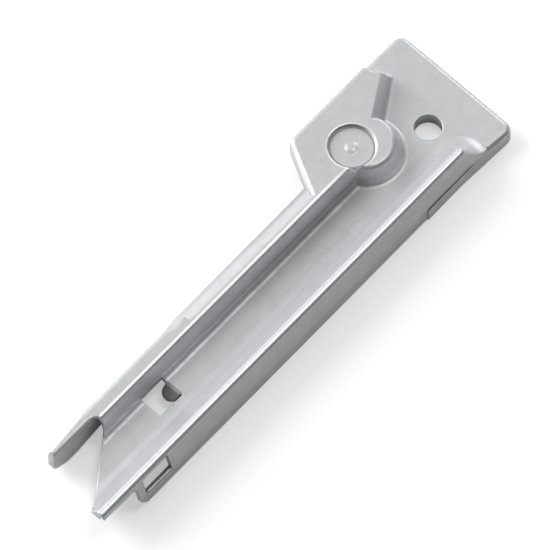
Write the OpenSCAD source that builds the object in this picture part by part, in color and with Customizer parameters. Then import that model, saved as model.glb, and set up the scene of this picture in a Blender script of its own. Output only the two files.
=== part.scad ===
/* [Sheet] */
// Thickness of the pressed steel sheet
sheet_t = 1.0; // [0.7:0.05:1.3]

// Outer bend radius where plate and plateau turn down into their rims
rim_bend_r = 1.4; // [1.35:0.05:2]

/* [Heights above the table] */
// Top face of the low plate and of the gutter's floor
plate_z = 4.3; // [3.8:0.1:5.5]
// Height of the raised plateau and the left ridge above the plate
plateau_rise = 4.9; // [3.5:0.1:6]
// Height of the right crest above the plate
crest_rise = 5.8; // [4.5:0.1:7]
// Depth of the plateau's short turned-down rim
plateau_rim_h = 4.1; // [3:0.1:5]

/* [Plate] */
// X of the plate's far end on its left corner
plate_end_x = 67.5; // [64:0.5:72]
// How far the far end runs back at its right corner
plate_end_skew = 1.3; // [0:0.1:3]
// Y of the plate's left edge
plate_left_y = 17.6; // [16.8:0.1:20]
// Y of the plate's right edge at its far corner
plate_right_y = -17.6; // [-19:0.1:-17.3]
// Radius of the plate's two far corners
plate_corner_r = 2.4; // [2:0.1:4]

/* [Plateau] */
// X of the plateau's left corner
plateau_corner_x = 28.7; // [26:0.1:31]
// Y of the plateau's outer edge
plateau_edge_y = 16.4; // [15:0.1:17]
// X of the notch where the ridge leaves the plateau
notch_x = 21.4; // [20:0.1:23]
// Steepness of the pressed steps, in degrees from level
step_angle = 68; // [60:1:75]
// Radius of the concave foot of the pressed steps
step_foot_r = 1.3; // [0.8:0.1:1.6]
// Outer bend radius at the top of the pressed steps
step_top_r = 1.2; // [1.1:0.1:1.4]

/* [Locating boss] */
// X of the round recess
recess_x = 36.9; // [36:0.1:38]
// Y of the round recess
recess_y = 4.75; // [4.5:0.1:5.5]
// Radius of the round recess
recess_r = 5.4; // [4.5:0.1:5.6]
// Depth of the round recess
recess_depth = 0.8; // [0.4:0.1:1.2]
// Radius of the concave foot round the boss
boss_bend_r = 1.7; // [1.5:0.1:1.9]
// Outer bend radius at the top of the boss
boss_top_r = 1.45; // [1.35:0.05:1.6]
// Radius of the pip in the middle of the recess
pip_r = 1.9; // [1.2:0.1:2.5]
// Height of the pip
pip_h = 0.5; // [0.3:0.1:0.7]

/* [Fixing hole] */
// X of the hole
hole_x = 53.5; // [52:0.1:56]
// Y of the hole
hole_y = -3.2; // [-5:0.1:-2]
// Radius of the hole
hole_r = 3.15; // [2:0.05:3.6]
// Depth of the drawn collar below the plate's top face
collar_depth = 3.6; // [2:0.1:3.7]
// Wall of the drawn collar
collar_wall = 0.8; // [0.6:0.1:1.2]

/* [Gutter section] */
// X of the fork end
rail_start_x = -67.5; // [-72:0.5:-64]
// Y of the ridge's outer wall near the fork
ridge_out_y = 5.7; // [5.4:0.1:6.2]
// Y of the ridge's outer wall between the shoulder and the plateau
shoulder_y = 7.2; // [6.8:0.1:7.6]
// X where the ridge widens into its sloped shoulder
shoulder_x = -25; // [-30:0.5:-15]
// Length over which the ridge widens
shoulder_run = 6; // [3:0.5:10]
// Y of the ridge's inner top edge
ridge_in_y = 1.45; // [1.2:0.05:1.7]
// Outer bend radius of the ridge's outer edge
ridge_bend_r = 1.4; // [1.3:0.05:2]
// Radius of the concave turn from the ridge to the floor
valley_r = 2; // [1.5:0.1:3]
// Y of the right crest
crest_y = -14.1; // [-14.6:0.1:-13.6]
// Steepness of the right wall under the crest, in degrees from level
wall_angle = 75; // [70:1:80]
// Steepness of the floor's rise to the crest, in degrees from level
flank_angle = 52; // [42:1:60]
// Radius of the concave turn from the floor to the flank
flank_r = 5.4; // [4:0.1:5.5]
// Outer bend radius of the crest
crest_r = 1.25; // [1.2:0.05:1.6]
// X where the crest ends in its rounded nose
nose_x = 51.4; // [49:0.1:53]

/* [Fork] */
// X of the left tine's tip
left_tip_x = -63.5; // [-65:0.1:-61]
// Y of the left tine's inner face
tine_in_y = 3.0; // [2.8:0.1:3.2]
// X of the notch's root between the tines
fork_root_x = -48.4; // [-52:0.1:-45]
// Y of the notch's root
fork_root_y = 1.6; // [0.8:0.1:2.4]
// Width of the right tine at its tip
right_tip_w = 2.4; // [1.8:0.1:3.2]
// Height of the right tine's side above the table
tine_side_z = 8.4; // [7.8:0.1:8.6]

/* [Window and slot] */
// X of the window's middle
window_x = -35.3; // [-40:0.1:-31]
// Y of the window's middle
window_y = -3.3; // [-4:0.1:-3]
// Length of the window along the rail
window_l = 7.0; // [5:0.1:9]
// Width of the window
window_w = 6.0; // [4.5:0.1:6.4]
// Length of the bent tongue in the window
tongue_l = 3.3; // [2:0.1:4.5]
// Width of the tongue
tongue_w = 4.2; // [3:0.1:4.4]
// Angle that the tongue is bent down by
tongue_angle = 35; // [15:1:45]
// X of the slot's middle in the right wall
slot_x = -50.8; // [-51:0.1:-49]
// Length of the slot
slot_l = 8.2; // [6:0.1:8.4]
// Height of the slot's lower edge above the table
slot_z = 4.4; // [4.2:0.1:4.6]
// Height of the slot
slot_h = 4.6; // [4:0.1:4.6]
// Radius of the rolled lip under the slot
lip_r = 0.6; // [0.5:0.05:0.7]

/* [Hidden] */
ridge_z = plate_z + plateau_rise;
crest_z = plate_z + crest_rise;
step_run = plateau_rise / tan(step_angle);
valley_y = ridge_in_y - step_run;
crest_half = (180 - flank_angle - wall_angle) / 2;
crest_tilt = (wall_angle - flank_angle) / 2;
apex_y = crest_y - crest_r * sin(crest_tilt) / sin(crest_half);
apex_rise = crest_rise + crest_r * (cos(crest_tilt) / sin(crest_half) - 1);
flank_foot_y = apex_y + apex_rise / tan(flank_angle);
wall_foot_y = apex_y - apex_rise / tan(wall_angle);
flank_end = flank_foot_y - crest_y + flank_r * tan(flank_angle / 2);
floor_end_x = hole_x - hole_r - collar_wall - 0.5;
ridge_shoulder = 0.9;
strip_shoulder = 4.2;
boss_x = recess_x + 2.9;
boss_y = recess_y - 1.45;
boss_foot_r = recess_r + 3.06;
strip_foot_x = 48;
strip_foot_y = 5.25;
strip_end_x = 57.4;
strip_end_y = 11.3;
strip_slope = 0.593;
rim_step_x = 38;
rim_step = 0.35;
tine_root_x = -51.6;
tine_root_y = 5.3;
tine_tip_y = 4.6;
tine_anchor = 5;
tine_bend_r = 0.65;
tine_floor_z = 0.2;
tip_cap_z = 7.4;
notch_slope = 0.72;
notch_reach = 8;
arc_steps = 5;
step_skirt = 3;
round_fn = 96;
clear = 1;
nudge = 0.03;
tall = 60;

// Left normal of the edge from a to b, as a unit vector
function normal(a, b) = let (d = b - a) [-d[1], d[0]] / norm(d);

// Points of one rounded corner at p, moved inward by inset d
function corner(a, p, b, r, d) =
    let (nu = normal(a, p),
         nv = normal(p, b),
         turn = atan2(nu[0] * nv[1] - nu[1] * nv[0], nu * nv),
         side = turn < 0 ? -1 : 1,
         bis = (nu + nv) / (1 + nu * nv),
         radius = max(0.04, r - side * d),
         mid = p + d * bis + side * radius * bis)
    r == 0 ? [p + d * bis] :
    [for (i = [0 : arc_steps])
        let (g = turn * i / arc_steps)
        mid - side * radius * [nu[0] * cos(g) - nu[1] * sin(g), nu[0] * sin(g) + nu[1] * cos(g)]];

// Closed outline with rounded corners, moved inward by inset d
function outline(pts, radii, d) =
    let (n = len(pts))
    [for (k = [0 : n - 1])
        each corner(pts[(k + n - 1) % n], pts[k], pts[(k + 1) % n], radii[k], d)];

// Solid to the left of the line from a to b, upright there, with its top edge rounded by r
module edge_prism(a, b, z_low, z_top, r, d) {
    translate([a[0], a[1], 0])
        rotate([0, 0, atan2(b[1] - a[1], b[0] - a[0])])
            translate([-tall, 0, 0])
                rotate([90, 0, 90])
                    linear_extrude(2 * tall)
                        polygon(outline(
                            [[0, z_low - d], [tall, z_low - d], [tall, z_top], [0, z_top]],
                            [0, 0, 0, r],
                            d));
}

// Upright solid over a convex outline, with its top edge rounded by r, moved inward by d
module rounded_form(pts, radii, z_low, z_top, r, d) {
    p = outline(pts, radii, 0);
    intersection_for (i = [0 : len(p) - 1])
        edge_prism(p[i], p[(i + 1) % len(p)], z_low, z_top, r, d);
}

// Low plate with its upright rim; its near side runs on under the plateau
module plate_form(d) {
    low = d > 0 ? -clear : 0;
    rounded_form(
        [[rim_step_x + 8, wall_foot_y - 0.1],
         [plate_end_x - plate_end_skew, plate_right_y],
         [plate_end_x, plate_left_y - 0.4],
         [rim_step_x + 10, plate_left_y],
         [rim_step_x + 8, plate_left_y - 4]],
        [0, plate_corner_r, plate_corner_r, 0, 0],
        low, plate_z, rim_bend_r, d);
    translate([0, 0, low])
        linear_extrude(plate_z - d - low)
            polygon(outline(
                [[rim_step_x, wall_foot_y - rim_step],
                 [rim_step_x + 15, wall_foot_y - rim_step / 2],
                 [rim_step_x + 15, wall_foot_y + 3],
                 [rim_step_x, wall_foot_y + 3]],
                [0, 0, 0, 0],
                d));
}

// Section of a pressed step as [y, z] points: skirt just under the plate, foot, wall and top
function step_section(depth, top_r, foot_r, d) =
    let (low = d > 0 ? -clear - d : plate_z - sheet_t)
    outline(
        [[-step_skirt, low], [depth, low], [depth, ridge_z], [step_run, ridge_z],
         [0, plate_z], [-step_skirt, plate_z - nudge]],
        [0, 0, 0, top_r, foot_r, 0],
        d);

// Raised solid to the left of a straight foot line from a to b, with a sloped wall along it
module step_prism(a, b, foot_r, d) {
    translate([a[0], a[1], 0])
        rotate([0, 0, atan2(b[1] - a[1], b[0] - a[0])])
            rotate([90, 0, 90])
                linear_extrude(norm(b - a))
                    polygon(step_section(tall, step_top_r, foot_r, d));
}

// Pressed step round the boss and up the slanted strip
module step_form(d) {
    wall_y = valley_y - nudge;
    low = d > 0 ? -clear : plate_z - sheet_t;
    step_prism([notch_x - 4, wall_y], [boss_x - 5, wall_y], valley_r, d);
    translate([boss_x, boss_y, 0])
        rotate_extrude($fn = round_fn)
            intersection() {
                translate([boss_foot_r, 0])
                    mirror([1, 0])
                        polygon(step_section(tall, boss_top_r, boss_bend_r, d));
                translate([0, -tall / 2])
                    square(tall);
            }
    translate([boss_x - 6, strip_foot_y + 3, low])
        cube([11, tall, ridge_z - d - low]);
    intersection() {
        step_prism([strip_foot_x - 5, strip_foot_y - 5 * strip_slope],
                   [strip_end_x + 3, strip_foot_y + (strip_end_x + 3 - strip_foot_x) * strip_slope],
                   step_foot_r, d);
        step_prism([strip_end_x + 3, strip_end_y - 7], [strip_end_x - 9, strip_end_y + 21],
                   step_foot_r, d);
    }
}

// Outline of the plateau's outer edge, from the notch over its left corner
plateau_edge = [
    [notch_x, -12],
    [70, -12],
    [70, plateau_edge_y],
    [plateau_corner_x, plateau_edge_y - 0.2],
    [notch_x, ridge_in_y + 1.5]];
plateau_radii = [0, 0, 0, 2.2, 0];

// Plateau inside its outer edge: a short rim there, and down to the plate further in
module plateau_edge_form(d) {
    rim_z = ridge_z - plateau_rim_h;
    rounded_form(plateau_edge, plateau_radii, d > 0 ? -clear : rim_z, ridge_z, rim_bend_r, d);
    if (d == 0)
        translate([0, 0, plate_z - 2 * sheet_t])
            linear_extrude(plateau_rim_h)
                polygon(outline(plateau_edge, plateau_radii, 1.3 * sheet_t));
}

module plateau_form(d) {
    intersection() {
        step_form(d);
        plateau_edge_form(d);
    }
}

// Section of the gutter as [y, z] points, from the left foot over the crest to the right foot
function section(out_y, shoulder_w, low) =
    [[wall_foot_y, low],
     [out_y, low],
     [out_y, ridge_z - shoulder_w],
     [out_y - shoulder_w, ridge_z],
     [ridge_in_y, ridge_z],
     [valley_y, plate_z],
     [flank_foot_y, plate_z],
     [apex_y, plate_z + apex_rise],
     [wall_foot_y, plate_z]];
section_radii = [0, 0, 1.2, ridge_bend_r, step_top_r, valley_r, flank_r, crest_r, 0];

// Section of the part of the gutter beside the plateau, without its ridge
function low_section(left_y, low) =
    [[wall_foot_y, low],
     [left_y, low],
     [left_y, plate_z],
     [flank_foot_y, plate_z],
     [apex_y, plate_z + apex_rise],
     [wall_foot_y, plate_z]];
low_radii = [0, 0, 0, flank_r, crest_r, 0];

// Length of gutter between two places along X, moved inward by inset d
module length_of(x0, x1, pts, radii, d) {
    translate([x0, 0, 0])
        rotate([90, 0, 90])
            linear_extrude(x1 - x0)
                polygon(outline(pts, radii, d));
}

module gutter(x0, x1, out_y, shoulder_w, d) {
    length_of(x0, x1, section(out_y, shoulder_w, d > 0 ? -clear - d : 0), section_radii, d);
}

module low_gutter(x0, x1, left_y, d) {
    length_of(x0, x1, low_section(left_y, d > 0 ? -clear - d : 0), low_radii, d);
}

// Widening piece of the ridge's outer side between its two sections
module shoulder_form(d) {
    hull() {
        for (end = [[shoulder_x, ridge_out_y, ridge_shoulder],
                    [shoulder_x + shoulder_run, shoulder_y, strip_shoulder]])
            translate([end[0] - 0.005, 0, 0])
                rotate([90, 0, 90])
                    linear_extrude(0.01)
                        intersection() {
                            polygon(outline(
                                section(end[1], end[2], d > 0 ? -clear - d : 0),
                                section_radii, d));
                            translate([ridge_in_y + ridge_shoulder, -tall / 2])
                                square(tall);
                        }
    }
}

module gutter_form(d) {
    strip_x = shoulder_x + shoulder_run;
    gutter(rail_start_x + d, shoulder_x, ridge_out_y, ridge_shoulder, d);
    gutter(shoulder_x - nudge, strip_x + nudge, ridge_out_y - ridge_shoulder, ridge_shoulder, d);
    shoulder_form(d);
    gutter(strip_x, notch_x + 3 + (d > 0 ? clear : 0), shoulder_y, strip_shoulder, d);
    low_gutter(notch_x + 1.5 - d / 2, floor_end_x, ridge_in_y, d);
    low_gutter(floor_end_x - clear, nose_x, crest_y + flank_end + sheet_t / 3, d);
}

// Rounded end of the crest, turned about the crest's own line
module nose_form(d) {
    tip = crest_r - d - nudge;
    foot = flank_r + d + nudge;
    intersection() {
        translate([nose_x, crest_y, 0])
            rotate_extrude($fn = round_fn)
                polygon(concat(
                    [[0, d > 0 ? -clear : 0], [flank_end, d > 0 ? -clear : 0]],
                    [for (i = [0 : arc_steps])
                        let (g = flank_angle * i / arc_steps)
                        [flank_end - foot * sin(g), plate_z + flank_r - foot * cos(g)]],
                    [for (i = [arc_steps : -1 : 0])
                        let (g = flank_angle * i / arc_steps)
                        [tip * sin(g), crest_z - crest_r + tip * cos(g)]]));
        low_gutter(nose_x - 5, nose_x + flank_end + clear, ridge_in_y, d);
    }
}

// Whole shape of the skin that lies depth d inside the outer face
module form(d) {
    plate_form(d);
    plateau_form(d);
    gutter_form(d);
    nose_form(d);
}

// Pressed sheet with its recess, pip and drawn collar
module pressed_sheet() {
    difference() {
        form(0);
        difference() {
            form(sheet_t);
            translate([recess_x, recess_y, ridge_z - sheet_t - recess_depth])
                cylinder(r = recess_r + sheet_t, h = 10, $fn = round_fn);
        }
        translate([recess_x, recess_y, ridge_z - recess_depth])
            cylinder(r = recess_r, h = 10, $fn = round_fn);
    }
    translate([recess_x, recess_y, ridge_z - recess_depth])
        intersection() {
            pip_ball = (pip_r * pip_r + pip_h * pip_h) / (2 * pip_h);
            translate([0, 0, pip_h - pip_ball])
                sphere(r = pip_ball, $fn = round_fn);
            translate([0, 0, -0.3])
                cylinder(r = pip_r + 0.5, h = 2, $fn = 48);
        }
    translate([hole_x, hole_y, plate_z - collar_depth])
        cylinder(r = hole_r + collar_wall, h = collar_depth - sheet_t / 2, $fn = round_fn);
}

// Everything between the tines, and the ridge beyond the left tine's root
module fork_notch() {
    far_y = ridge_out_y + notch_reach;
    translate([0, 0, -clear])
        linear_extrude(ridge_z + notch_reach)
            polygon(outline(
                [[rail_start_x - notch_reach, far_y],
                 [rail_start_x - notch_reach, crest_y + right_tip_w - notch_reach * notch_slope],
                 [rail_start_x, crest_y + right_tip_w],
                 [fork_root_x, fork_root_y],
                 [fork_root_x - 2.4, tine_in_y],
                 [tine_root_x, tine_in_y + 0.2],
                 [tine_root_x, far_y]],
                [0, 0, 0, 1.4, 0.8, 0, 0],
                0));
}

// Left tine: sheet folded double into a tapered bar, anchored under the end of the ridge
module left_tine() {
    anchor_x = tine_root_x + tine_anchor;
    intersection() {
        rounded_form(
            [[left_tip_x, tine_in_y],
             [anchor_x, tine_in_y],
             [anchor_x, tine_root_y - 1.1],
             [tine_root_x, tine_root_y],
             [left_tip_x, tine_tip_y]],
            [0, 0, 0, 0, 0],
            0, ridge_z - nudge, tine_bend_r, 0);
        translate([0, ridge_out_y + clear, 0])
            rotate([90, 0, 0])
                linear_extrude(ridge_out_y)
                    polygon([
                        [anchor_x + clear, 2],
                        [anchor_x + clear, tall],
                        [left_tip_x + 0.9, tall],
                        [left_tip_x + 0.9, ridge_z],
                        [left_tip_x + 0.3, ridge_z - 0.6],
                        [left_tip_x, ridge_z - 1.6],
                        [left_tip_x, 3.4],
                        [left_tip_x + 0.5, 2.4],
                        [left_tip_x + 1.5, 1.6],
                        [left_tip_x + 4.7, tine_floor_z],
                        [left_tip_x + 8, tine_floor_z]]);
    }
}

// End of the right wall, cut up in a curve to the right tine's side, and the cap of its tip
module right_wall_cut() {
    start_x = slot_x - slot_l / 2 + 1;
    translate([0, crest_y, 0])
        rotate([90, 0, 0])
            linear_extrude(notch_reach)
                polygon(outline(
                    [[rail_start_x - clear, -clear],
                     [start_x, -clear],
                     [start_x - 3, 3],
                     [start_x - 3.2, tine_side_z],
                     [rail_start_x - clear, tine_side_z + 0.2]],
                    [0, 0, 1.5, 1.5, 0],
                    0));
    translate([rail_start_x - clear, crest_y - nudge, -clear])
        cube([clear + sheet_t + 0.5, right_tip_w + clear, tip_cap_z + clear]);
}

// Slot through the right wall, just under the crest
module wall_slot() {
    translate([slot_x - slot_l / 2, crest_y - 6, slot_z])
        cube([slot_l, 6 - 0.1, slot_h]);
}

// Rolled lip along the slot's lower edge
module slot_lip() {
    lip_z = slot_z - 0.3;
    lip_y = wall_foot_y + (lip_z - plate_z) / tan(wall_angle) + 0.25;
    for (side = [-1, 1])
        translate([slot_x + side * (slot_l / 2 - lip_r), lip_y, lip_z])
            sphere(r = lip_r, $fn = 24);
    translate([slot_x - slot_l / 2 + lip_r, lip_y, lip_z])
        rotate([0, 90, 0])
            cylinder(r = lip_r, h = slot_l - 2 * lip_r, $fn = 24);
}

module window_cut() {
    translate([window_x - window_l / 2, window_y - window_w / 2, 0])
        cube([window_l, window_w, ridge_z]);
}

// Round-ended tongue, bent down from the window's edge on the plate side
module tongue() {
    round_r = tongue_w / 2;
    translate([window_x + window_l / 2, window_y - 0.5, plate_z])
        rotate([0, -tongue_angle, 0])
            translate([0, 0, -sheet_t])
                linear_extrude(sheet_t)
                    intersection() {
                        translate([-tongue_l, -round_r])
                            square([tongue_l + 0.5, tongue_w]);
                        translate([round_r - tongue_l, 0])
                            union() {
                                circle(r = round_r, $fn = 64);
                                translate([0, -round_r])
                                    square([tongue_l, tongue_w]);
                            }
                    }
}

module rail() {
    color("#c4c6c9")
        union() {
            difference() {
                pressed_sheet();
                translate([hole_x, hole_y, -clear])
                    cylinder(r = hole_r, h = 20, $fn = round_fn);
                fork_notch();
                right_wall_cut();
                wall_slot();
                window_cut();
            }
            tongue();
            left_tine();
            slot_lip();
        }
}

rail();
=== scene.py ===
"""Pressed steel dishwasher rail on a pale table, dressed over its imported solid."""

import logging
import math
from dataclasses import dataclass
from enum import Enum

import bpy
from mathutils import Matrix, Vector

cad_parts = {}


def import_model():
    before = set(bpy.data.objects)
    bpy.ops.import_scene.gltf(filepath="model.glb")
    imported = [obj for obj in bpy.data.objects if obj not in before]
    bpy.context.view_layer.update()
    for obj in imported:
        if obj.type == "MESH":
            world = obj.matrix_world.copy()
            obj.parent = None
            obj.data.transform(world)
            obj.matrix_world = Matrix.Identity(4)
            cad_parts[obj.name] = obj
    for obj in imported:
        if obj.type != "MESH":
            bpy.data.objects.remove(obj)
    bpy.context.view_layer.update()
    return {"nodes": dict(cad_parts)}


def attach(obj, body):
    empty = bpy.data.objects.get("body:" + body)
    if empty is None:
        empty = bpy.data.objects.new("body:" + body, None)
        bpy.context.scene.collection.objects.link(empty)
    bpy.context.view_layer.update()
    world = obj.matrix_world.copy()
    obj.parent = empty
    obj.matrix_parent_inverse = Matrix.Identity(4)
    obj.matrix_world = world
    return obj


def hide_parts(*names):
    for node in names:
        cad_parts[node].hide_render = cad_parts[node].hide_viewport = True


LOG = logging.getLogger("rail")
MM = 0.001
WHITE = (1.0, 1.0, 1.0, 1.0)

# Noise of the coat, and the scale that draws its streaks out along the rail
GRAIN_DETAIL = {"Fine": 3.0, "Coarse": 4.0}
GRAIN_ROUGHNESS = 0.6
STREAK_DETAIL = 3.0
STREAK_STRETCH = (0.02, 1.0, 1.0)

Triple = tuple[float, float, float]
Span = tuple[float, float]
Tree = bpy.types.NodeTree
Plug = bpy.types.NodeSocket


class Slot(Enum):
    """Material slot names, which this script doesn't use."""

    RAIL = "rail"


class Socket(Enum):
    """Socket types that the shader groups use."""

    VALUE = "NodeSocketFloat"
    VECTOR = "NodeSocketVector"


class Maths(Enum):
    """Operations of the maths nodes."""

    ABSOLUTE = "ABSOLUTE"
    MAXIMUM = "MAXIMUM"
    MULTIPLY = "MULTIPLY"
    MULTIPLY_ADD = "MULTIPLY_ADD"
    SUBTRACT = "SUBTRACT"


class Ease(Enum):
    """How a value goes from one end of a span to the other."""

    LINEAR = "LINEAR"
    SMOOTH = "SMOOTHSTEP"


class Effect(Enum):
    """Shader groups, by the names that they get."""

    GRAIN = "SatinGrain"
    STREAKS = "DrawnStreaks"
    # The next two groups are the masks of painted highlights and of painted shade
    RUBBED = "RubbedLines"
    DULL = "DullPlaces"


# ---- nodes ----


def feed(tree: Tree, inlet: Plug, value: Plug | float) -> None:
    """Links a value to a node's input, or sets it there if it is a plain number.

    Args:
        tree: Tree of the node.
        inlet: Input that takes the value.
        value: Output of another node, or a number.
    """
    if isinstance(value, Plug):
        tree.links.new(value, inlet)
    else:
        inlet.default_value = value


def maths(tree: Tree, kind: Maths, *values: Plug | float) -> Plug:
    """Adds a maths node.

    Args:
        tree: Tree that gets the node.
        kind: Operation of the node.
        values: What it works on, in the order of its inputs.

    Returns:
        The result.
    """
    node = tree.nodes.new("ShaderNodeMath")
    node.operation = kind.value
    for inlet, value in zip(node.inputs, values):
        feed(tree, inlet, value)
    return node.outputs[0]


def joined(tree: Tree, kind: Maths, parts: list[Plug]) -> Plug:
    """Joins values two by two with one operation.

    Args:
        tree: Tree that gets the nodes.
        kind: Operation of the maths nodes.
        parts: The values.

    Returns:
        The result.
    """
    total = parts[0]
    for part in parts[1:]:
        total = maths(tree, kind, total, part)
    return total


def ranged(
    tree: Tree, value: Plug, source: Span, target: Span, ease: Ease = Ease.LINEAR
) -> Plug:
    """Adds a node that maps one span of a value to another.

    Args:
        tree: Tree that gets the node.
        value: The value.
        source: Ends of the span that it comes in.
        target: Ends of the span that it goes out in.
        ease: How it goes between them.

    Returns:
        The mapped value.
    """
    node = tree.nodes.new("ShaderNodeMapRange")
    node.interpolation_type = ease.value
    for key, number in zip(("From Min", "From Max", "To Min", "To Max"), (*source, *target)):
        node.inputs[key].default_value = number
    tree.links.new(value, node.inputs["Value"])
    return node.outputs["Result"]


def blended(tree: Tree, mask: Plug, bare: Plug | float, covered: float) -> Plug:
    """Adds a node that goes from one value to another where a mask covers.

    Args:
        tree: Tree that gets the node.
        mask: The mask.
        bare: Value where the mask is 0.
        covered: Value where it is 1.

    Returns:
        The blended value.
    """
    node = tree.nodes.new("ShaderNodeMix")
    tree.links.new(mask, node.inputs["Factor"])
    feed(tree, node.inputs["A"], bare)
    feed(tree, node.inputs["B"], covered)
    return node.outputs["Result"]


def placed(tree: Tree, group: Tree, place: Plug, **values: float) -> bpy.types.Node:
    """Places a shader group in a tree.

    Args:
        tree: Tree that gets the group.
        group: The group.
        place: Coordinates that it reads.
        values: Numbers for its other inputs, by name.

    Returns:
        The group's node.
    """
    node = tree.nodes.new("ShaderNodeGroup")
    node.node_tree = group
    tree.links.new(place, node.inputs["Vector"])
    for key, value in values.items():
        node.inputs[key].default_value = value
    return node


# ---- marks on the coat ----


@dataclass(frozen=True)
class Band:
    """Soft band, in millimetres: 1 within inner of its middle, and 0 beyond outer."""

    middle: float
    inner: float
    outer: float

    def mask(self, tree: Tree, length: Plug) -> Plug:
        """Adds the band's nodes.

        Args:
            tree: Tree that gets the nodes.
            length: Value in metres that the band is laid on.

        Returns:
            The band's mask.
        """
        away = maths(tree, Maths.ABSOLUTE, maths(tree, Maths.SUBTRACT, length, self.middle * MM))
        return ranged(tree, away, (self.inner * MM, self.outer * MM), (1.0, 0.0), Ease.SMOOTH)


@dataclass(frozen=True)
class Patch:
    """Place on the rail that lies within some bands along it, across it and up it."""

    along: tuple[Band, ...] = ()
    across: tuple[Band, ...] = ()
    up: tuple[Band, ...] = ()

    def mask(self, tree: Tree, place: Plug) -> Plug:
        """Adds the patch's nodes.

        Args:
            tree: Tree that gets the nodes.
            place: Coordinates of the surface.

        Returns:
            The patch's mask.
        """
        axes = tree.nodes.new("ShaderNodeSeparateXYZ")
        tree.links.new(place, axes.inputs[0])
        sides = zip(axes.outputs, (self.along, self.across, self.up))
        masks = [band.mask(tree, axis) for axis, bands in sides for band in bands]
        return joined(tree, Maths.MULTIPLY, masks)


@dataclass(frozen=True)
class Ring:
    """Place on the rail at some distance from a centre, which is in metres."""

    centre: Triple
    radius: Band

    def mask(self, tree: Tree, place: Plug) -> Plug:
        """Adds the ring's nodes.

        Args:
            tree: Tree that gets the nodes.
            place: Coordinates of the surface.

        Returns:
            The ring's mask.
        """
        away = tree.nodes.new("ShaderNodeVectorMath")
        away.operation = "DISTANCE"
        away.inputs[1].default_value = self.centre
        tree.links.new(place, away.inputs[0])
        return self.radius.mask(tree, away.outputs["Value"])


RECESS_CENTRE = (36.9 * MM, 4.75 * MM, 9.2 * MM)

# Painted highlights: crest, ridge's edge and recess's rim, painted near white where these bends
# catch the light
PAINTED_HIGHLIGHT_MARKS = (
    Patch(up=(Band(10.1, 0.02, 0.3),)),
    Patch(
        along=(Band(-10.0, 38.0, 42.0),),
        across=(Band(1.95, 0.2, 0.6),),
        up=(Band(9.2, 0.3, 0.6),),
    ),
    Ring(RECESS_CENTRE, Band(5.6, 0.1, 0.35)),
)

# Painted shade: gutter's floor, darker the nearer it is to the boss, then the tongue and the
# recess's corner
PAINTED_SHADE_MARKS = (
    Patch(
        along=(Band(36.0, 8.0, 84.0), Band(-30.0, 60.0, 70.0)),
        across=(Band(2.0, 0.0, 13.0),),
        up=(Band(4.3, 0.7, 3.0),),
    ),
    Patch(
        along=(Band(-35.3, 5.0, 6.0),),
        across=(Band(-3.0, 6.0, 7.0),),
        up=(Band(1.5, 2.4, 2.7),),
    ),
    Ring(RECESS_CENTRE, Band(5.1, 0.05, 0.4)),
)


# ---- shader groups ----


def new_group(
    effect: Effect, ins: dict[str, Socket], outs: tuple[str, ...]
) -> tuple[Tree, bpy.types.Node, bpy.types.Node]:
    """Makes an empty shader group with named sockets.

    Args:
        effect: Which group it is.
        ins: Input names, each with its type.
        outs: Names of the outputs, all plain values.

    Returns:
        The group's tree, its input node and its output node.
    """
    tree = bpy.data.node_groups.new(effect.value, "ShaderNodeTree")
    for key, kind in ins.items():
        tree.interface.new_socket(key, in_out="INPUT", socket_type=kind.value)
    for key in outs:
        tree.interface.new_socket(key, in_out="OUTPUT", socket_type=Socket.VALUE.value)
    return tree, tree.nodes.new("NodeGroupInput"), tree.nodes.new("NodeGroupOutput")


def satin_grain_group() -> Tree:
    """Grain of zinc-coated sheet: values about 0.5 that change over the surface.

    Returns:
        The group, with outputs Fine and Coarse.
    """
    tree, gin, gout = new_group(
        Effect.GRAIN,
        {"Vector": Socket.VECTOR, "Fine": Socket.VALUE, "Coarse": Socket.VALUE},
        ("Fine", "Coarse"),
    )
    for key, detail in GRAIN_DETAIL.items():
        noise = tree.nodes.new("ShaderNodeTexNoise")
        noise.inputs["Detail"].default_value = detail
        noise.inputs["Roughness"].default_value = GRAIN_ROUGHNESS
        tree.links.new(gin.outputs["Vector"], noise.inputs["Vector"])
        tree.links.new(gin.outputs[key], noise.inputs["Scale"])
        tree.links.new(noise.outputs["Fac"], gout.inputs[key])
    return tree


def drawn_streaks_group() -> Tree:
    """Faint lines along the rail, left by the press tool.

    Returns:
        The group, with output Streaks.
    """
    tree, gin, gout = new_group(
        Effect.STREAKS, {"Vector": Socket.VECTOR, "Scale": Socket.VALUE}, ("Streaks",)
    )
    stretch = tree.nodes.new("ShaderNodeMapping")
    stretch.inputs["Scale"].default_value = STREAK_STRETCH
    noise = tree.nodes.new("ShaderNodeTexNoise")
    noise.inputs["Detail"].default_value = STREAK_DETAIL
    tree.links.new(gin.outputs["Vector"], stretch.inputs["Vector"])
    tree.links.new(stretch.outputs["Vector"], noise.inputs["Vector"])
    tree.links.new(gin.outputs["Scale"], noise.inputs["Scale"])
    tree.links.new(noise.outputs["Fac"], gout.inputs["Streaks"])
    return tree


def marks_group(effect: Effect, marks: tuple[Patch | Ring, ...]) -> Tree:
    """Mask of all the places that some marks cover.

    Args:
        effect: Which group it is.
        marks: The marks.

    Returns:
        The group, with output Mask.
    """
    tree, gin, gout = new_group(effect, {"Vector": Socket.VECTOR}, ("Mask",))
    masks = [mark.mask(tree, gin.outputs["Vector"]) for mark in marks]
    tree.links.new(joined(tree, Maths.MAXIMUM, masks), gout.inputs["Mask"])
    return tree


# ---- finishes ----


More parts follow.
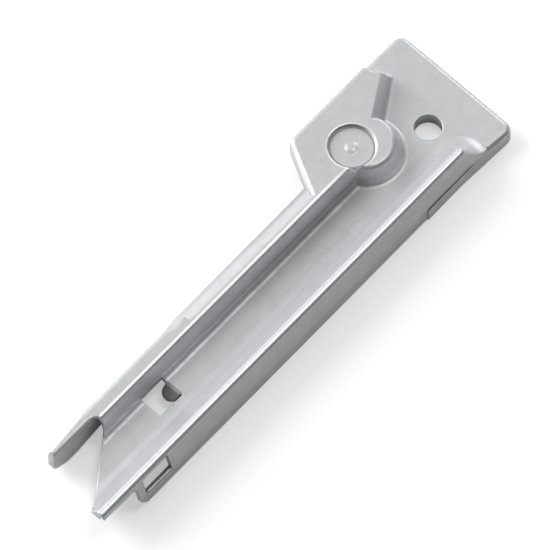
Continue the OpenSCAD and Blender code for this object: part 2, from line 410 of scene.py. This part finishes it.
@dataclass(frozen=True)
class Grain:
    """Scales of the coat's patterns, and the share that each has in its grain."""

    fine_scale: float
    coarse_scale: float
    streak_scale: float
    fine_share: float
    coarse_share: float
    streak_share: float

    def mixed(self, tree: Tree, groups: dict[Effect, Tree], place: Plug) -> Plug:
        """Adds the patterns to a material and mixes them.

        Args:
            tree: The material's tree.
            groups: The shader groups.
            place: Coordinates of the surface.

        Returns:
            The grain, a value about 0.5.
        """
        satin = placed(
            tree, groups[Effect.GRAIN], place, Fine=self.fine_scale, Coarse=self.coarse_scale
        )
        drawn = placed(tree, groups[Effect.STREAKS], place, Scale=self.streak_scale)
        total: Plug | float = 0.0
        for node, key, share in (
            (satin, "Fine", self.fine_share),
            (satin, "Coarse", self.coarse_share),
            (drawn, "Streaks", self.streak_share),
        ):
            total = maths(tree, Maths.MULTIPLY_ADD, node.outputs[key], share, total)
        return total


@dataclass(frozen=True)
class SteelFinish:
    """Satin zinc-coated sheet steel, with painted highlights on some edges and painted shade in
    some hollows.
    """

    name: str
    grain: Grain
    light: Triple
    dark: Triple
    tone_span: Span
    metallic: float
    roughness: float
    rough_spread: float
    rough_span: Span
    bump: float
    bump_depth: float
    edge_radius: float
    # Painted highlight colour and roughness, painted shade level, then painted shade from
    # ambient occlusion in hollows
    painted_highlight: Triple
    highlight_roughness: float
    painted_shade_level: float
    hollow_reach: float
    hollow_span: Span
    hollow_dark: float
    ray_samples: int

    def make(self, groups: dict[Effect, Tree]) -> bpy.types.Material:
        """Builds the material's nodes.

        Args:
            groups: The shader groups.

        Returns:
            The material.
        """
        mat = bpy.data.materials.new(self.name)
        mat.use_nodes = True
        tree = mat.node_tree
        place = tree.nodes.new("ShaderNodeTexCoord").outputs["Object"]
        grain = self.grain.mixed(tree, groups, place)
        # Masks of the painted highlights and of the painted shade
        painted_highlight = placed(tree, groups[Effect.RUBBED], place).outputs["Mask"]
        painted_shade = placed(tree, groups[Effect.DULL], place).outputs["Mask"]
        shader = tree.nodes["Principled BSDF"]
        shader.inputs["Metallic"].default_value = self.metallic
        tree.links.new(self._colour(tree, grain, painted_highlight, painted_shade), shader.inputs["Base Color"])
        tree.links.new(self._roughness(tree, grain, painted_highlight), shader.inputs["Roughness"])
        tree.links.new(self._normal(tree, grain), shader.inputs["Normal"])
        return mat

    def _colour(self, tree: Tree, grain: Plug, painted_highlight: Plug, painted_shade: Plug) -> Plug:
        """Adds the coat's colour, with painted highlights on some lines, painted shade in some
        places and painted shade deep in hollows.

        Args:
            tree: The material's tree.
            grain: The coat's grain.
            painted_highlight: Mask of the painted highlights.
            painted_shade: Mask of the places with painted shade.

        Returns:
            The colour.
        """
        ramp = tree.nodes.new("ShaderNodeValToRGB")
        stops = zip(ramp.color_ramp.elements, self.tone_span, (self.dark, self.light))
        for stop, position, tone in stops:
            stop.position = position
            stop.color = (*tone, 1.0)
        tree.links.new(grain, ramp.inputs["Fac"])
        # Painted highlights: the coat's colour goes to near white under their mask
        tint = tree.nodes.new("ShaderNodeMix")
        tint.data_type = "RGBA"
        coat, shine = (inlet for inlet in tint.inputs if inlet.type == "RGBA")
        shine.default_value = (*self.painted_highlight, 1.0)
        tree.links.new(painted_highlight, tint.inputs["Factor"])
        tree.links.new(ramp.outputs["Color"], coat)
        tinted = next(outlet for outlet in tint.outputs if outlet.type == "RGBA")
        # Painted shade: darker under the shade mask and deep in hollows
        level = maths(
            tree, Maths.MULTIPLY, blended(tree, painted_shade, 1.0, self.painted_shade_level), self._painted_hollow_shade(tree)
        )
        shade = tree.nodes.new("ShaderNodeVectorMath")
        shade.operation = "SCALE"
        tree.links.new(tinted, shade.inputs[0])
        tree.links.new(level, shade.inputs["Scale"])
        return shade.outputs["Vector"]

    def _painted_hollow_shade(self, tree: Tree) -> Plug:
        """Adds painted shade: a level from ambient occlusion that darkens the colour from 1
        toward hollow_dark deep inside holes and slots.

        Args:
            tree: The material's tree.

        Returns:
            The level.
        """
        hollow = tree.nodes.new("ShaderNodeAmbientOcclusion")
        hollow.samples = self.ray_samples
        hollow.inputs["Distance"].default_value = self.hollow_reach
        return ranged(tree, hollow.outputs["AO"], self.hollow_span, (self.hollow_dark, 1.0))

    def _roughness(self, tree: Tree, grain: Plug, painted_highlight: Plug) -> Plug:
        """Adds the roughness, which varies with the grain and falls on the lines with painted
        highlights.

        Args:
            tree: The material's tree.
            grain: The coat's grain.
            painted_highlight: Mask of the painted highlights.

        Returns:
            The roughness.
        """
        ends = (self.roughness + self.rough_spread, self.roughness - self.rough_spread)
        coat = ranged(tree, grain, self.rough_span, ends)
        return blended(tree, painted_highlight, coat, self.highlight_roughness)

    def _normal(self, tree: Tree, grain: Plug) -> Plug:
        """Adds the normal: edges that look slightly rounded, with the grain's relief on them.

        Args:
            tree: The material's tree.
            grain: The coat's grain.

        Returns:
            The normal.
        """
        edge = tree.nodes.new("ShaderNodeBevel")
        edge.samples = self.ray_samples
        edge.inputs["Radius"].default_value = self.edge_radius
        relief = tree.nodes.new("ShaderNodeBump")
        relief.inputs["Strength"].default_value = self.bump
        relief.inputs["Distance"].default_value = self.bump_depth
        tree.links.new(grain, relief.inputs["Height"])
        tree.links.new(edge.outputs["Normal"], relief.inputs["Normal"])
        return relief.outputs["Normal"]


@dataclass(frozen=True)
class TableFinish:
    """Plain near-white table that keeps the rail's shadow."""

    name: str
    albedo: float
    glow: float
    glow_in_metal: float

    def make(self) -> bpy.types.Material:
        """Builds the table's material: a matt face, with a glow that matt faces don't see.

        Returns:
            The material.
        """
        mat = bpy.data.materials.new(self.name)
        mat.use_nodes = True
        tree = mat.node_tree
        tree.nodes.remove(tree.nodes["Principled BSDF"])
        face = tree.nodes.new("ShaderNodeBsdfDiffuse")
        face.inputs["Color"].default_value = (self.albedo, self.albedo, self.albedo, 1.0)
        glow = tree.nodes.new("ShaderNodeEmission")
        tree.links.new(self._glow(tree), glow.inputs["Strength"])
        both = tree.nodes.new("ShaderNodeAddShader")
        tree.links.new(face.outputs[0], both.inputs[0])
        tree.links.new(glow.outputs[0], both.inputs[1])
        tree.links.new(both.outputs[0], tree.nodes["Material Output"].inputs["Surface"])
        return mat

    def _glow(self, tree: Tree) -> Plug:
        """Adds the glow's strength: full for the camera and through glass, part of it in metal.

        Args:
            tree: The material's tree.

        Returns:
            The strength.
        """
        path = tree.nodes.new("ShaderNodeLightPath").outputs
        straight = maths(
            tree, Maths.MAXIMUM, path["Is Camera Ray"], path["Is Transmission Ray"]
        )
        seen = maths(
            tree, Maths.MULTIPLY_ADD, path["Is Glossy Ray"], self.glow_in_metal, straight
        )
        return maths(tree, Maths.MULTIPLY, seen, self.glow)


SATIN_ZINC = SteelFinish(
    name="satin_zinc",
    grain=Grain(
        fine_scale=2600.0,
        coarse_scale=260.0,
        streak_scale=900.0,
        fine_share=0.5,
        coarse_share=0.4,
        streak_share=0.1,
    ),
    light=(0.73, 0.735, 0.755),
    dark=(0.60, 0.605, 0.625),
    tone_span=(0.36, 0.62),
    metallic=0.5,
    roughness=0.4,
    rough_spread=0.05,
    rough_span=(0.3, 0.7),
    bump=0.3,
    bump_depth=0.04 * MM,
    edge_radius=0.6 * MM,
    # Painted highlights and painted shade in some places; the hollow values give painted shade
    # from ambient occlusion
    painted_highlight=(0.97, 0.97, 0.98),
    highlight_roughness=0.3,
    painted_shade_level=0.47,
    hollow_reach=14.0 * MM,
    hollow_span=(0.1, 0.42),
    hollow_dark=0.25,
    ray_samples=8,
)

PALE_TABLE = TableFinish(name="pale_table", albedo=0.8, glow=0.45, glow_in_metal=0.3)


# ---- the rail ----


@dataclass
class PressedRail:
    """The rail itself: one pressed sheet, dressed in satin zinc."""

    finish: SteelFinish
    weld: float = 0.02 * MM
    flat_angle: float = math.radians(0.4)
    smooth_angle: float = math.radians(30)
    normal_weight: int = 50

    def build(self, source: bpy.types.Object, groups: dict[Effect, Tree]) -> bpy.types.Object:
        """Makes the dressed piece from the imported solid.

        Args:
            source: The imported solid's object.
            groups: The shader groups.

        Returns:
            The finished piece.
        """
        piece = self._copy(source)
        self._merge(piece)
        piece.data.materials.clear()
        piece.data.materials.append(self.finish.make(groups))
        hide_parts("rail")
        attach(piece, "root")
        return piece

    @staticmethod
    def _copy(source: bpy.types.Object) -> bpy.types.Object:
        """Copies the solid with a mesh of its own, at the origin.

        Args:
            source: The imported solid's object.

        Returns:
            The copy.
        """
        piece = source.copy()
        piece.data = source.data.copy()
        piece.parent = None
        piece.name = "pressed_rail"
        piece.data.transform(source.matrix_world.copy())
        piece.matrix_world.identity()
        bpy.context.scene.collection.objects.link(piece)
        return piece

    def _merge(self, piece: bpy.types.Object) -> None:
        """Joins the loose triangles, clears the lines inside flat faces and sets the normals.

        Args:
            piece: The copy of the solid.
        """
        bpy.ops.object.select_all(action="DESELECT")
        piece.select_set(True)
        bpy.context.view_layer.objects.active = piece
        bpy.ops.object.mode_set(mode="EDIT")
        bpy.ops.mesh.select_all(action="SELECT")
        bpy.ops.mesh.remove_doubles(threshold=self.weld)
        bpy.ops.mesh.dissolve_degenerate(threshold=self.weld)
        bpy.ops.mesh.dissolve_limited(angle_limit=self.flat_angle, delimit=set())
        bpy.ops.object.mode_set(mode="OBJECT")
        bpy.ops.object.shade_smooth_by_angle(angle=self.smooth_angle)
        normals = piece.modifiers.new("weighted", "WEIGHTED_NORMAL")
        normals.keep_sharp = True
        normals.weight = self.normal_weight
        bpy.ops.object.modifier_apply(modifier=normals.name)


# ---- the studio ----


@dataclass(frozen=True)
class Lamp:
    """Soft square lamp that points at the rail, in metres and watts."""

    name: str
    place: Triple
    size: float
    power: float

    def hang(self) -> None:
        """Adds the lamp."""
        bpy.ops.object.light_add(type="AREA", location=self.place)
        lamp = bpy.context.object
        lamp.name = self.name
        lamp.data.size = self.size
        lamp.data.energy = self.power
        lamp.rotation_euler = (-Vector(self.place)).to_track_quat("-Z", "Y").to_euler()


LAMPS = (
    Lamp("window", (-0.35, 1.0, 0.6), 0.8, 12.0),
    Lamp("overhead", (0.33, -0.1, 1.1), 0.3, 1.6),
    Lamp("end", (1.1, 0.3, 0.5), 0.5, 2.4),
    Lamp("back", (-0.1, 1.1, 0.35), 0.6, 1.4),
)


@dataclass
class Studio:
    """Table, lamps, surround and camera."""

    table: TableFinish
    lamps: tuple[Lamp, ...]
    table_size: float = 6.0
    aim: Triple = (0.0053, -0.0006, 0.0)
    heading: float = math.radians(48.53)
    elevation: float = math.radians(62.87)
    distance: float = 3.0
    frame_width: float = 0.121
    far_end: float = 10.0
    window_side: Triple = (0.4, 0.65, 0.6)
    side_span: Span = (-0.3, 0.9)
    level_span: Span = (0.0, 0.52)

    def build(self) -> None:
        """Sets the whole studio."""
        self._table()
        self._world()
        for lamp in self.lamps:
            lamp.hang()
        self._camera()
        bpy.context.scene.view_settings.view_transform = "Standard"

    def _table(self) -> None:
        """Adds the table, which the camera sees as near white."""
        bpy.ops.mesh.primitive_plane_add(size=self.table_size, location=(0, 0, 0))
        table = bpy.context.object
        table.name = "table"
        table.data.materials.append(self.table.make())

    def _world(self) -> None:
        """Adds the surround: white to the camera and through glass, else light from one side."""
        world = bpy.data.worlds.new("surround")
        bpy.context.scene.world = world
        world.use_nodes = True
        tree = world.node_tree
        side = tree.nodes.new("ShaderNodeVectorMath")
        side.operation = "DOT_PRODUCT"
        side.inputs[1].default_value = Vector(self.window_side).normalized()
        look = tree.nodes.new("ShaderNodeTexCoord")
        tree.links.new(look.outputs["Generated"], side.inputs[0])
        level = ranged(tree, side.outputs["Value"], self.side_span, self.level_span, Ease.SMOOTH)
        path = tree.nodes.new("ShaderNodeLightPath").outputs
        seen = maths(tree, Maths.MAXIMUM, path["Is Camera Ray"], path["Is Transmission Ray"])
        back = tree.nodes["Background"]
        back.inputs["Color"].default_value = WHITE
        tree.links.new(blended(tree, seen, level, 1.0), back.inputs["Strength"])

    def _camera(self) -> None:
        """Adds the camera at the photograph's viewing angle, far off with a long lens."""
        away = Vector((
            -math.sin(self.heading) * math.cos(self.elevation),
            -math.cos(self.heading) * math.cos(self.elevation),
            math.sin(self.elevation),
        ))
        bpy.ops.object.camera_add(location=Vector(self.aim) + away * self.distance)
        camera = bpy.context.object
        camera.rotation_euler = (-away).to_track_quat("-Z", "Y").to_euler()
        camera.data.lens = camera.data.sensor_width * self.distance / self.frame_width
        camera.data.clip_end = self.far_end
        bpy.context.scene.camera = camera


def main() -> None:
    """Loads the frame, dresses the rail and sets the studio."""
    logging.basicConfig(level=logging.INFO, format="%(message)s")
    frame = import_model()
    groups = {
        Effect.GRAIN: satin_grain_group(),
        Effect.STREAKS: drawn_streaks_group(),
        Effect.RUBBED: marks_group(Effect.RUBBED, PAINTED_HIGHLIGHT_MARKS),
        Effect.DULL: marks_group(Effect.DULL, PAINTED_SHADE_MARKS),
    }
    rail = PressedRail(SATIN_ZINC).build(frame["nodes"]["rail"], groups)
    LOG.info("rail: %s, %d faces", rail.name, len(rail.data.polygons))
    Studio(PALE_TABLE, LAMPS).build()


if __name__ == "__main__":
    main()
